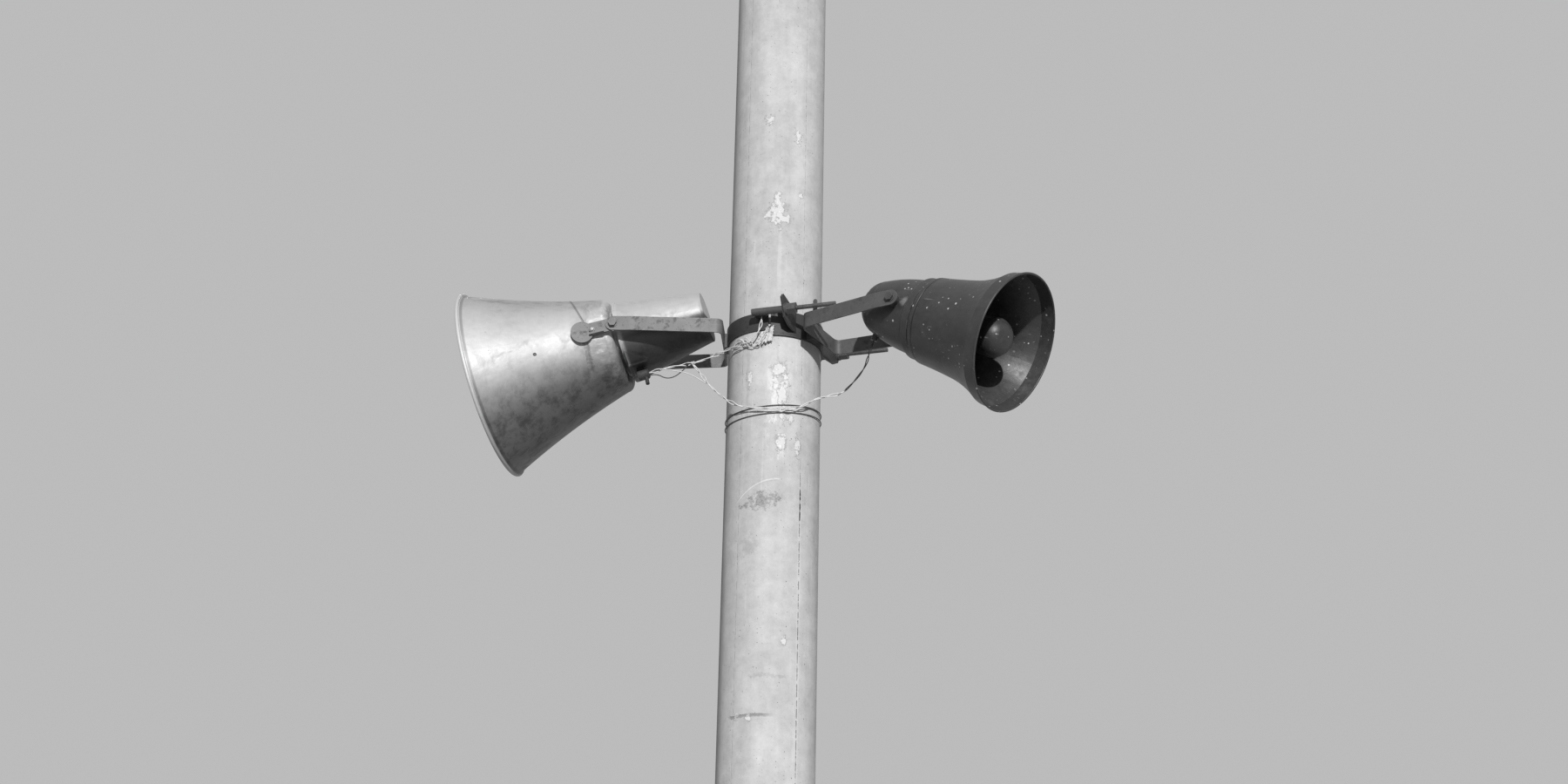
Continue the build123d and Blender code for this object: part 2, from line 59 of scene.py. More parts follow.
# Routes of the speaker wires, in millimetres
LEFT_WIRE = [
    (-292.4, -26.3, 3800.4), (-249.0, -35.5, 3812.1), (-190.4, -33.0, 3823.2), (-144.9, -40.0, 3839.0),
    (-102.0, -68.0, 3849.5), (-73.2, -100.0, 3844.4), (-47.0, -117.0, 3851.5), (-31.0, -120.5, 3885.0),
    (-31.0, -120.5, 3907.0),
]
LOOSE_STRAND = [
    (-290.8, -28.3, 3792.8), (-275.7, -31.5, 3796.9), (-249.0, -33.0, 3781.8), (-221.0, -33.0, 3794.7),
    (-203.6, -33.5, 3817.3),
]
CROSS_WIRE = [
    (-190.0, -33.3, 3820.4), (-172.1, -38.0, 3798.0), (-152.6, -48.0, 3765.1), (-131.2, -64.0, 3737.7),
    (-108.0, -84.0, 3710.9), (-83.2, -100.0, 3690.9), (-57.0, -108.4, 3682.0), (-23.0, -120.3, 3676.6),
    (10.8, -122.0, 3674.9), (42.6, -114.9, 3678.6), (70.4, -100.9, 3692.4), (96.2, -93.0, 3713.7),
    (126.4, -82.0, 3725.6), (156.5, -80.0, 3733.7), (176.3, -86.0, 3751.3), (196.0, -94.0, 3773.4),
    (212.5, -104.0, 3796.9), (218.0, -136.0, 3817.1), (228.1, -142.1, 3841.4),
]
CROSS_STRAND = [
    (-256.0, -35.0, 3806.6), (-232.0, -37.0, 3802.0), (-205.0, -39.0, 3797.0), (-184.0, -42.0, 3786.0),
    (-167.0, -45.0, 3774.0), (-157.8, -47.3, 3767.2),
]

# The wires in metres: a strand's radius, and a pair's width and the length of one turn of its twist
STRAND_R = 0.00125
PAIR_PITCH = 0.075


def turned(axis, degrees):
    """A 4x4 turn about X, Y or Z."""
    return Matrix.Rotation(radians(degrees), 4, axis)


def shifted(x, y, z):
    """A 4x4 shift, from millimetres."""
    return Matrix.Translation((x / 1000, y / 1000, z / 1000))


# Frames of the yokes, lugs and horns, as the CAD model places them
LEFT_YOKE = shifted(0, 0, 3893.2) @ turned("Z", 177.3) @ turned("X", -3.2)
RIGHT_YOKE = shifted(0, 0, 3884.5) @ turned("Z", -29)
LEFT_LUGS = LEFT_YOKE @ shifted(371, 1.5, 0) @ turned("Y", 15.4)
LEFT_HORN = LEFT_YOKE @ shifted(371, 5, 0) @ turned("Z", -8.3) @ turned("Y", 15.4) @ shifted(0, 0, -4.5)
RIGHT_HORN = RIGHT_YOKE @ shifted(363, -17, 0) @ turned("Z", -2) @ turned("Y", 25.8)
BOLTS = shifted(0, 0, 3900) @ turned("Z", -17)

# The clamp rods' threads in the frame of the bolts, in millimetres: side, and start and end along the rod
THREADS = (("clamp_thread_front", -139, 93, 185), ("clamp_thread_rear", 139, 142, 238))
THREAD_HEIGHT = 13
THREAD_R = 0.005
THREAD_RIDGE_R = 0.00045
THREAD_PITCH = 0.0015

# The link bolt's head, as (radius, height) in millimetres
BOLT_HEAD = ((7.0, -0.6), (7.0, 1.0), (6.0, 1.4), (5.2, 1.6), (5.0, 4.2), (4.0, 5.0), (2.0, 5.4))

# Strands tangled at the strap: each one's share of a strand's radius, and its route before the pole, as
# (azimuth in degrees, height, radius)
TANGLE = (
    (1.0, (
        (-62, 3849, 112), (-56, 3858, 113), (-48, 3867, 116), (-41, 3862, 119), (-35, 3846, 118),
        (-27, 3834, 116), (-19, 3841, 119), (-14, 3856, 119), (-10, 3870, 122), (-8, 3882, 122),
    )),
    (0.85, (
        (-60, 3858, 113), (-51, 3848, 114), (-44, 3852, 113), (-38, 3867, 116), (-31, 3858, 120),
        (-25, 3840, 115), (-20, 3833, 112), (-15, 3845, 114), (-16, 3857, 117),
    )),
    (0.8, (
        (-50, 3856, 117), (-44, 3868, 118), (-38, 3858, 114), (-42, 3846, 112), (-33, 3840, 114),
        (-28, 3850, 118),
    )),
)

# Lime on the pole: azimuth in degrees, height in metres, and half its width and height
LIME = (
    (-1, 4.182, 12, 0.036), (-10, 4.178, 9, 0.012), (9, 4.172, 9, 0.012), (0, 4.222, 5, 0.022),
    (25, 4.395, 5, 0.022), (-12, 4.44, 5, 0.014), (7, 3.778, 9, 0.022), (14, 3.752, 5, 0.024),
    (11, 3.718, 5, 0.034), (4, 3.735, 6, 0.014), (12, 3.672, 5, 0.026), (11, 3.600, 7, 0.022),
    (-10, 3.870, 10, 0.02), (-14, 3.85, 6, 0.012), (22, 3.66, 4, 0.014), (30, 4.24, 3, 0.01),
    (-38, 2.962, 4, 0.008), (-22, 2.958, 3, 0.007), (18, 3.13, 3, 0.012), (-30, 3.76, 4, 0.02),
    (31, 3.60, 4, 0.03),
)


def add_camera():
    """The camera at the photograph's viewing angle."""
    forward = Vector((0, cos(PITCH), sin(PITCH)))
    level_up = Vector((0, -sin(PITCH), cos(PITCH)))
    level_right = Vector((1, 0, 0))
    right = level_right * cos(ROLL) + level_up * sin(ROLL)
    up = level_up * cos(ROLL) - level_right * sin(ROLL)
    camera = bpy.data.objects.new("camera", bpy.data.cameras.new("camera"))
    camera.data.lens = LENS
    camera.data.sensor_width = 36.0
    camera.matrix_world = Matrix.Translation(EYE) @ Matrix((right, up, -forward)).transposed().to_4x4()
    bpy.context.collection.objects.link(camera)
    bpy.context.scene.camera = camera


def add_mesh(name, points, faces, material):
    """A smooth-shaded piece from points in the shared frame."""
    mesh = bpy.data.meshes.new(name)
    mesh.from_pydata([tuple(point) for point in points], [], faces)
    mesh.shade_smooth()
    mesh.materials.append(material)
    piece = bpy.data.objects.new(name, mesh)
    bpy.context.collection.objects.link(piece)
    return piece


class Field:
    """A number that varies over a surface: one output of a material's nodes."""

    def __init__(self, surface, socket):
        self.surface = surface
        self.socket = socket

    def __add__(self, other):
        return self.surface.calc("ADD", self, other)

    def __radd__(self, other):
        return self.surface.calc("ADD", other, self)

    def __sub__(self, other):
        return self.surface.calc("SUBTRACT", self, other)

    def __rsub__(self, other):
        return self.surface.calc("SUBTRACT", other, self)

    def __mul__(self, other):
        return self.surface.calc("MULTIPLY", self, other)

    def __rmul__(self, other):
        return self.surface.calc("MULTIPLY", other, self)

    def __truediv__(self, other):
        return self.surface.calc("DIVIDE", self, other)

    def step(self, low, high):
        """0 below low and 1 above high, with a smooth rise between them. A low above high turns it round."""
        node = self.surface.node("ShaderNodeMapRange", interpolation_type="SMOOTHSTEP")
        if low < high:
            limits = (low, high, 0, 1)
        else:
            limits = (high, low, 1, 0)
        for socket, value in zip(node.inputs, (self, *limits)):
            self.surface.feed(socket, value)
        return Field(self.surface, node.outputs[0])


class Surface:
    """A procedural grey material. Its shade, roughness and height are built from fields."""

    def __init__(self, name, frame_matrix=None):
        self.material = bpy.data.materials.new(name)
        self.material.use_nodes = True
        self.tree = self.material.node_tree
        self.shader = self.tree.nodes["Principled BSDF"]
        self.place = self.node("ShaderNodeTexCoord").outputs["Object"]
        if frame_matrix is not None:
            inverse = frame_matrix.inverted()
            self.place = self.mapped(inverse.to_translation(), inverse.to_euler(), (1, 1, 1))
        split = self.node("ShaderNodeSeparateXYZ")
        self.tree.links.new(self.place, split.inputs[0])
        self.x, self.y, self.z = (Field(self, output) for output in split.outputs)

    def node(self, kind, **settings):
        """A new node with its settings."""
        node = self.tree.nodes.new(kind)
        for key, value in settings.items():
            setattr(node, key, value)
        return node

    def feed(self, socket, value):
        """Links a field to a socket, or sets the socket's own value."""
        if isinstance(value, Field):
            self.tree.links.new(value.socket, socket)
        else:
            socket.default_value = value

    def calc(self, operation, *values):
        """One step of arithmetic."""
        node = self.node("ShaderNodeMath", operation=operation)
        for socket, value in zip(node.inputs, values):
            self.feed(socket, value)
        return Field(self, node.outputs[0])

    def mapped(self, location, rotation, scale):
        """The surface's coordinates moved, turned and scaled."""
        node = self.node("ShaderNodeMapping")
        self.tree.links.new(self.place, node.inputs["Vector"])
        node.inputs["Location"].default_value = location
        node.inputs["Rotation"].default_value = rotation
        node.inputs["Scale"].default_value = scale
        return node.outputs["Vector"]

    def noise(self, scale, stretch=(1, 1, 1), detail=4.0, rough=0.6, twist=0.0):
        """Cloudy noise from 0 to 1, with scale features a metre."""
        node = self.node("ShaderNodeTexNoise")
        self.tree.links.new(self.mapped((0, 0, 0), (0, 0, 0), stretch), node.inputs["Vector"])
        node.inputs["Scale"].default_value = scale
        node.inputs["Detail"].default_value = detail
        node.inputs["Roughness"].default_value = rough
        node.inputs["Distortion"].default_value = twist
        return Field(self, node.outputs[0])

    def dots(self, scale, size, share, stretch=(1, 1, 1)):
        """Scattered dots, 1 inside and 0 outside, in that share of the cells."""
        node = self.node("ShaderNodeTexVoronoi")
        self.tree.links.new(self.mapped((0, 0, 0), (0, 0, 0), stretch), node.inputs["Vector"])
        node.inputs["Scale"].default_value = scale
        split = self.node("ShaderNodeSeparateXYZ")
        self.tree.links.new(node.outputs["Color"], split.inputs[0])
        chosen = Field(self, split.outputs[0]).step(1 - share, 1.02 - share)
        reach = Field(self, split.outputs[1]) * size + size * 0.4
        return chosen * (Field(self, node.outputs["Distance"]) / reach).step(1.0, 0.6)

    def worn_edges(self, reach):
        """1 along the sharp edges of a piece, within that many metres, and 0 elsewhere."""
        bevel = self.node("ShaderNodeBevel", samples=4)
        bevel.inputs["Radius"].default_value = reach
        flat = self.node("ShaderNodeNewGeometry").outputs["Normal"]
        match = self.node("ShaderNodeVectorMath", operation="DOT_PRODUCT")
        self.tree.links.new(bevel.outputs[0], match.inputs[0])
        self.tree.links.new(flat, match.inputs[1])
        return Field(self, match.outputs["Value"]).step(0.985, 0.86)

    def mix(self, share, a, b):
        """a where share is 0, and b where it is 1."""
        node = self.node("ShaderNodeMix")
        for index, value in ((0, share), (2, a), (3, b)):
            self.feed(node.inputs[index], value)
        return Field(self, node.outputs[0])

    def finish(self, shade, roughness, metallic, height=None, depth=0.001):
        """Feeds the shader, and returns the material. The height's bumps are depth metres deep."""
        self.feed(self.shader.inputs["Roughness"], roughness)
        self.feed(self.shader.inputs["Metallic"], metallic)
        self.tree.links.new(shade.socket, self.shader.inputs["Base Color"])
        if height is not None:
            bump = self.node("ShaderNodeBump")
            bump.inputs["Distance"].default_value = depth
            self.feed(bump.inputs["Height"], height)
            self.tree.links.new(bump.outputs[0], self.shader.inputs["Normal"])
        return self.material


def concrete():
    """Spun concrete, weathered grey, with lime, stains, mould seams and pinholes, and painted shade down its
    left side.
    """
    s = Surface("weathered_concrete")
    turn = s.calc("ARCTAN2", s.x, 0 - s.y) * (180 / pi)
    height = s.z
    ragged = (s.noise(34, detail=9, rough=0.72) - 0.5) * 2.8
    ragged = ragged + (s.noise(95, detail=6, rough=0.7) - 0.5) * 4.2

    def oval(at, z, wide, tall):
        across = (turn - at) / wide
        along = (height - z) / tall
        return s.calc("SQRT", across * across + along * along)

    def patch(at, z, wide, tall, soft=0.6):
        return (oval(at, z, wide, tall) + ragged).step(1.0, soft)

    cloud = s.noise(3.2, detail=6, rough=0.65)
    streaks = s.noise(14, (1, 1, 0.09), detail=6, rough=0.6)
    mottle = s.noise(34, detail=8, rough=0.75)
    blots = s.noise(13, detail=7, rough=0.7)
    grain = s.noise(650, detail=2)
    shade = 0.58 + (cloud - 0.5) * 0.3 + (streaks - 0.5) * 0.3 + (mottle - 0.5) * 0.34 + (grain - 0.5) * 0.1
    shade = shade + (blots - 0.5) * 0.3

    grime = s.noise(5, (1.4, 1.4, 0.16), detail=7, rough=0.7).step(0.52, 0.76)
    # Painted shade down the pole's left side, away from the light, broken up by the mottle
    left_side_painted_shade = turn.step(-56, -80) * turn.step(-175, -150) * (0.6 + (mottle - 0.5) * 1.2)
    shade = (shade - grime * 0.08) * (1 - left_side_painted_shade * 0.5)
    drip = s.noise(46, (1, 1, 0.05), detail=3).step(0.58, 0.7)
    drip = drip * height.step(3.95, 3.84) * height.step(3.5, 3.8)
    shade = shade - drip * 0.07
    runs = s.noise(75, (1, 1, 0.035), detail=4, rough=0.6).step(0.6, 0.68)
    runs = runs * s.noise(6, detail=3).step(0.45, 0.6)
    shade = shade + runs * 0.07

    lime = patch(*LIME[0])
    for spot in LIME[1:]:
        lime = s.calc("MAXIMUM", lime, patch(*spot))
    wash = oval(7, 3.69, 19, 0.16).step(1.15, 0.45)
    wash = wash * s.noise(24, (1, 1, 0.45), detail=9, rough=0.75).step(0.48, 0.56)
    crust = s.dots(160, 0.5, 0.4)
    shade = shade + wash * 0.22
    shade = s.mix(lime * (0.6 + crust * 0.3), shade, 0.88)

    stain = patch(-13, 3.458, 20, 0.021) * (0.55 + s.noise(160, detail=4).step(0.45, 0.6) * 0.45)
    shade = shade * (1 - stain * 0.5)
    shade = shade - patch(-26, 3.35, 12, 0.03, 0.2) * 0.06 - patch(4, 3.05, 30, 0.006, 0.2) * 0.08

    wander = (s.noise(7, (0, 0, 1), detail=4) - 0.5) * 1.6
    right_seam = s.calc("ABSOLUTE", turn - 36.5 + wander)
    left_seam = s.calc("ABSOLUTE", turn + 42 + wander)
    back_seam = s.calc("ABSOLUTE", s.calc("ABSOLUTE", turn) - 178 + wander)
    open_part = height.step(3.5, 3.47) * height.step(3.40, 3.43)
    lower = 0.3 + height.step(3.56, 3.48) * 0.7
    broken = s.noise(55, (0, 0, 1), detail=5, rough=0.7).step(0.44, 0.54)
    seams = right_seam.step(0.9, 0.3) * lower * broken + left_seam.step(0.6, 0.1) * 0.4 * broken
    seams = seams + back_seam.step(0.7, 0.1) * 0.7 * broken
    crack = right_seam.step(1.2, 0.4) * open_part * (0.4 + broken * 0.6)
    flash = right_seam.step(3.4, 1.0) * lower
    shade = shade + flash * 0.06 - seams * 0.26 - crack * 0.34

    arc = s.calc("ABSOLUTE", height - 3.509 + (turn - 9.5) * (turn - 9.5) * 0.000016)
    arc = arc.step(0.0032, 0.0012) * turn.step(-50, -40) * turn.step(14, 6)
    ring = s.calc("ABSOLUTE", height - 2.962 + ragged * 0.002).step(0.005, 0.001)
    ring = ring * turn.step(-52, -44) * turn.step(14, -8)
    shade = shade + arc * 0.14 - ring * 0.22

    holes = s.calc("MAXIMUM", s.dots(70, 0.07, 0.5), s.dots(170, 0.12, 0.3))
    shade = shade * (1 - holes * 0.6)
    scratch = s.noise(120, (1, 1, 0.03), detail=2).step(0.7, 0.74) * s.noise(9, detail=2).step(0.52, 0.6)
    shade = s.calc("MINIMUM", shade + scratch * 0.08, 0.88)
    relief = mottle * 0.3 + grain * 0.12 + cloud * 0.6 + lime * 0.35 + crust * lime * 0.2 + arc * 0.3
    relief = relief - holes * 0.7 - seams * 0.6 - crack - scratch * 0.15 - ring * 0.6
    return s.finish(shade, 0.86 + (mottle - 0.5) * 0.2, 0.0, relief, 0.0024)


def mortar():
    """Trowelled mortar on the pole's top."""
    s = Surface("trowelled_mortar")
    mottle = s.noise(28, detail=7, rough=0.7)
    sweep = s.noise(60, (1, 0.25, 1), detail=3)
    moss = s.noise(11, detail=6, rough=0.7).step(0.5, 0.7)
    holes = s.dots(90, 0.1, 0.5)
    shade = (0.36 + (mottle - 0.5) * 0.2 + (sweep - 0.5) * 0.06 - moss * 0.14) * (1 - holes * 0.5)
    return s.finish(shade, 0.92, 0.0, mottle * 0.6 + sweep * 0.3 - holes, 0.003)


def around(s):
    """Distance from a horn's axis, and degrees round it from the top towards its near side."""
    radius = s.calc("SQRT", s.y * s.y + s.z * s.z)
    angle = s.calc("ARCTAN2", s.y, s.z) * (180 / pi)
    return radius, angle


def silver_paint():
    """Silver paint on spun aluminium: spinning lines, dents, grime and bright specks, with painted shade on
    its underside and a painted highlight on its rim.
    """
    s = Surface("silver_paint", LEFT_HORN)
    radius, angle = around(s)
    down = s.calc("ABSOLUTE", angle)
    lines = s.noise(900, (1, 0.02, 0.02), detail=2)
    cloud = s.noise(7, detail=5, rough=0.6)
    mottle = s.noise(60, detail=7, rough=0.7)
    grain = s.noise(700, detail=2)
    grime = s.noise(15, detail=8, rough=0.72, twist=0.6).step(0.5, 0.72)
    smears = s.noise(22, (0.25, 1, 1), detail=7, rough=0.7).step(0.5, 0.66)
    underside_shade_mottle = s.noise(34, (1, 1, 0.6), detail=8, rough=0.75).step(0.42, 0.66)
    bell = s.x.step(-0.005, 0.01)
    neck = s.x.step(0.085, 0.02) * s.x.step(-0.03, 0.0)
    rear = s.x.step(-0.02, -0.03)
    inside = (radius - 0.115 - s.x * 0.325).step(0.0, -0.012) * s.x.step(0.0, 0.02)
    # Darker along the top, in streaks, and painted shade over the underside, mottled
    top = down.step(78, 30) * bell
    underside_painted_shade = down.step(100, 142)
    shade = 0.57 + (cloud - 0.5) * 0.2 + (mottle - 0.5) * 0.15 + (grain - 0.5) * 0.05 + (lines - 0.5) * 0.05
    shade = shade * (1 - top * (0.3 + smears * 0.3)) * (1 - underside_painted_shade * (0.68 + underside_shade_mottle * 0.16))
    # The case behind the bell is a tenth darker, with painted shade on its lower side, where the yoke's arm
    # shades it and it faces down
    shade = shade * (1 - rear * (0.1 + down.step(92, 108) * 0.74))
    grimy = grime * (0.12 + rear * 0.12 + neck * 0.3)
    # More painted shade low on the sides, mottled, then grime, and the inside a tenth darker
    shade = shade * (1 - grimy - underside_shade_mottle * down.step(80, 110) * 0.12 - inside * 0.1)
    specks = s.calc("MAXIMUM", s.dots(30, 0.05, 0.16) * top, s.dots(60, 0.05, 0.06))
    pits = s.dots(26, 0.04, 0.22)
    seam = s.calc("ABSOLUTE", s.x - 0.054 + (angle - 70) * 0.0006).step(0.003, 0.0007)
    seam = seam * angle.step(18, 26) * angle.step(92, 80)
    crease = s.calc("ABSOLUTE", s.x - 0.058 + (s.noise(20, detail=3) - 0.5) * 0.03).step(0.009, 0.001)
    crease = crease * angle.step(92, 100) * angle.step(142, 118) * (0.3 + mottle)
    along = s.x - 0.1704
    across = (angle - 101.7) * 0.00283
    spot = s.calc("SQRT", along * along + across * across).step(0.0042, 0.003)
    # Painted highlight on the rolled edge of the rim, and a painted shade line just inside it
    edge = s.x.step(0.3165, 0.3185)
    rim_painted_shade_line = s.x.step(0.309, 0.312) * s.x.step(0.3175, 0.3155)
    shade = s.mix(specks * 0.85, shade, 0.86)
    shade = shade * (1 - pits * 0.45 - seam * 0.4 - crease * 0.35 - rim_painted_shade_line * 0.4) * (1 - spot * 0.85)
    shade = s.mix(edge * 0.6, shade, 0.72)
    dents = s.noise(9, detail=3, rough=0.5)
    knocks = s.noise(26, detail=4, rough=0.55)
    relief = dents * (0.7 + neck * 2.6 + rear * 0.5) + knocks * (0.16 + neck * 0.9 + rear * 0.2)
    relief = relief + mottle * 0.05 + lines * 0.012 + grain * 0.012
    relief = relief - seam * 0.35 - crease * 0.6 - spot * 0.5 - pits * 0.12 + specks * 0.06
    rough = 0.5 + (mottle - 0.5) * 0.25 + grime * 0.18
    return s.finish(s.calc("MINIMUM", shade, 0.7), rough, 0.16, relief, 0.006)


def grey_paint():
    """Dark grey paint on the small horn: chalky, scratched, chipped at the edges, with pale specks and a
    painted highlight beside the pivot.
    """
    s = Surface("dark_grey_paint", RIGHT_HORN)
    angle = around(s)[1]
    cloud = s.noise(9, detail=6, rough=0.65)
    mottle = s.noise(70, detail=7, rough=0.72)
    grain = s.noise(800, detail=2)
    chalk = s.noise(20, detail=7, rough=0.7).step(0.52, 0.74)
    scratch = s.noise(160, (0.05, 1, 1), detail=2).step(0.67, 0.71) * s.noise(14, detail=3).step(0.5, 0.62)
    flecks = s.noise(17, detail=2).step(0.46, 0.6)
    specks = s.calc("MAXIMUM", s.dots(44, 0.13, 0.55), s.dots(95, 0.2, 0.5) * flecks)
    groove = s.calc("ABSOLUTE", s.x - 0.0765).step(0.0022, 0.0006)
    # A painted highlight on the ring's rear face beside the pivot, where it catches the light
    pivot_painted_highlight = (s.x - 0.03) / 0.013
    down = (angle + 86) / 9
    pivot_painted_highlight = (s.calc("SQRT", pivot_painted_highlight * pivot_painted_highlight + down * down) + (mottle - 0.5) * 1.6).step(1.0, 0.3)
    chipped = s.worn_edges(0.0016) * s.noise(60, detail=5, rough=0.7).step(0.42, 0.56)
    shade = 0.046 + (cloud - 0.5) * 0.05 + (mottle - 0.5) * 0.05 + (grain - 0.5) * 0.02 + chalk * 0.035
    shade = s.mix(specks * 0.85, shade, 0.62)
    shade = s.calc("MAXIMUM", shade + scratch * 0.13 + pivot_painted_highlight * 0.16 + chipped * 0.26 - groove * 0.035, 0.012)
    relief = cloud * 0.8 + mottle * 0.12 + grain * 0.03 + specks * 0.1 - scratch * 0.1 - groove * 0.5
    rough = 0.42 + (mottle - 0.5) * 0.3 + chalk * 0.15
    return s.finish(shade, rough, 0.05, relief, 0.0022)


def bar_steel(name, base, metallic):
    """Flat bar: dull, with scale, dark blotches, paler worn edges and fine scratches along it."""
    s = Surface(name)
    cloud = s.noise(18, detail=6, rough=0.65)
    mottle = s.noise(130, detail=7, rough=0.75)
    grain = s.noise(900, detail=2)
    blotch = s.noise(42, detail=7, rough=0.72).step(0.52, 0.68)
    worn = s.noise(30, detail=6, rough=0.7, twist=0.8).step(0.58, 0.74)
    scratch = s.noise(240, (0.06, 0.06, 1), detail=2).step(0.66, 0.72)
    pits = s.dots(220, 0.16, 0.3)
    edge = s.worn_edges(0.0014) * s.noise(50, detail=5, rough=0.7).step(0.36, 0.56)
    shade = base * (1 + (cloud - 0.5) * 0.8 + (mottle - 0.5) * 0.6 + (grain - 0.5) * 0.2)
    shade = shade * (1 - blotch * 0.4 + worn * 0.5 + scratch * 0.2 - pits * 0.45) + edge * (0.1 + base * 0.5)
    relief = cloud * 0.4 + mottle * 0.3 + grain * 0.08 - blotch * 0.2 - pits * 0.5 - scratch * 0.06
    return s.finish(shade, 0.56 + (mottle - 0.5) * 0.3 + blotch * 0.2, metallic, relief, 0.0011)


def plastic(name, base, dark_after=None):
    """Weathered plastic sleeve or gland. Past dark_after metres along X it is dark."""
    s = Surface(name)
    mottle = s.noise(220, detail=5, rough=0.7)
    dirt = s.noise(90, detail=6, rough=0.7).step(0.48, 0.7)
    grain = s.noise(1400, detail=2)
    shade = base * (1 + (mottle - 0.5) * 0.5 - dirt * 0.35 + (grain - 0.5) * 0.2)
    if dark_after is not None:
        shade = s.mix(s.x.step(dark_after - 0.004, dark_after + 0.004), shade, 0.03 + (mottle - 0.5) * 0.02)
    return s.finish(shade, 0.5 + dirt * 0.25, 0.0, mottle * 0.5 + grain * 0.2, 0.0004)


CONCRETE = concrete()
MORTAR = mortar()
SILVER = silver_paint()
GREY = grey_paint()
LEFT_BAR = bar_steel("galvanised_bar", 0.17, 0.1)
RIGHT_BAR = bar_steel("grey_bar", 0.095, 0.1)
STRAP = bar_steel("dark_strap", 0.042, 0.1)
STEEL = bar_steel("dull_steel", 0.085, 0.3)
BRIGHT_STEEL = bar_steel("bright_steel", 0.38, 0.6)
IRON = bar_steel("iron_wire", 0.1, 0.3)
FERRITE = bar_steel("ferrite", 0.03, 0.1)
SLEEVE = plastic("pale_sleeve", 0.72)
CROSS_SLEEVE = plastic("pale_sleeve_with_dark_end", 0.76, 0.163)
DARK_SLEEVE = plastic("dark_sleeve", 0.05)
GLAND = plastic("gland_plastic", 0.045)
PLASTER = plastic("torn_plaster", 0.62)

NODE_MATERIALS = {
    "pole_shaft": CONCRETE,
    "pole_cap": MORTAR,
    "clamp_strap": STRAP,
    "clamp_saddle": STRAP,
    "clamp_bolt_front": STEEL,
    "clamp_bolt_rear": STEEL,
    "clamp_nut_front": STEEL,
    "clamp_nut_rear": STEEL,
    "left_yoke": LEFT_BAR,
    "right_yoke": RIGHT_BAR,
    "left_pivot_bolt_near": LEFT_BAR,
    "left_pivot_bolt_far": LEFT_BAR,
    "right_pivot_bolt_near": STEEL,
    "right_pivot_bolt_far": STEEL,
    "left_pivot_boss_near": LEFT_BAR,
    "left_pivot_boss_far": LEFT_BAR,
    "left_driver_unit": FERRITE,
    "right_driver_unit": FERRITE,
    "left_cable_gland": GLAND,
    "right_cable_outlet": GLAND,
    "tie_wire_upper": IRON,
    "tie_wire_lower": IRON,
}


def centre_line(name, route):
    """Points along the smooth curve that has the route's points as its control points."""
    curve = bpy.data.curves.new(name, "CURVE")
    curve.dimensions = "3D"
    spline = curve.splines.new("NURBS")
    spline.points.add(len(route) - 1)
    for point, (x, y, z) in zip(spline.points, route):
        point.co = (x / 1000, y / 1000, z / 1000, 1)
    spline.order_u = 3
    spline.use_endpoint_u = True
    spline.resolution_u = 16
    guide = bpy.data.objects.new(name, curve)
    mesh = bpy.data.meshes.new_from_object(guide)
    line = [vertex.co.copy() for vertex in mesh.vertices]
    bpy.data.objects.remove(guide)
    bpy.data.curves.remove(curve)
    bpy.data.meshes.remove(mesh)
    return line


def sides_of(line):
    """At each point of a line, two directions across it, which don't spin as the line bends."""
    across = []
    side = (line[1] - line[0]).orthogonal().normalized()
    for before, after in zip([line[0]] + line[:-1], line[1:] + [line[-1]]):
        along = (after - before).normalized()
        side = (side - along * side.dot(along)).normalized()
        across.append((side, along.cross(side)))
    return across


def tube(line, radius, corners=8):
    """Points and faces of a closed round tube along a line."""
    points = []
    faces = []
    for place, (side, up) in zip(line, sides_of(line)):
        for corner in range(corners):
            angle = 2 * pi * corner / corners
            points.append(place + (side * cos(angle) + up * sin(angle)) * radius)
    rings = len(line)
    for ring in range(rings - 1):
        for corner in range(corners):
            a = ring * corners + corner
            b = ring * corners + (corner + 1) % corners
            faces.append((a, b, b + corners, a + corners))
    faces.append(tuple(range(corners))[::-1])
    faces.append(tuple((rings - 1) * corners + corner for corner in range(corners)))
    return points, faces


def joined(parts):
    """Several (points, faces) as one."""
    points = []
    faces = []
    for part_points, part_faces in parts:
        start = len(points)
        points += part_points
        faces += [tuple(start + index for index in face) for face in part_faces]
    return points, faces


def wound(line, reach, pitch, phase):
    """A line wound round another, at reach(share of its length) from it."""
    lengths = [0.0]
    for before, after in zip(line, line[1:]):
        lengths.append(lengths[-1] + (after - before).length)
    around_line = []
    for place, (side, up), gone in zip(line, sides_of(line), lengths):
        angle = phase + 2 * pi * gone / pitch
        around_line.append(place + (side * cos(angle) + up * sin(angle)) * reach(gone / lengths[-1]))
    return around_line


def pair_reach(share):
    """Distance of a pair's strands from its middle: they touch, and gape here and there."""
    gape = max(0.0, sin(share * 9 * pi)) ** 2 * 1.7 + max(0.0, sin(share * 4 * pi + 1)) ** 4 * 0.9
    return STRAND_R * (1 + gape * min(1.0, share * 12, (1 - share) * 12))


def coil(place, direction, start, end, radius, wire_r, pitch):
    """Points and faces of a wire wound round a straight axis, between two distances along it."""
    side = direction.orthogonal().normalized()
    up = direction.cross(side)
    steps = int((end - start) / pitch * 14)
    helix = []
    for step in range(steps + 1):
        angle = 2 * pi * step / 14
        along = start + (end - start) * step / steps
        helix.append(place + direction * along + (side * cos(angle) + up * sin(angle)) * radius)
    return tube(helix, wire_r, 6)


def wrap_at(line, point, turns, radius, wire_r):
    """Turns of wire round a cord, at the place on its line that is nearest to a point in millimetres."""
    nearest = min(range(1, len(line) - 1), key=lambda index: (line[index] - Vector(point) / 1000).length)
    along = (line[nearest + 1] - line[nearest - 1]).normalized()
    half = turns * wire_r * 1.15
    return coil(line[nearest], along, -half, half, radius, wire_r, wire_r * 2.3)


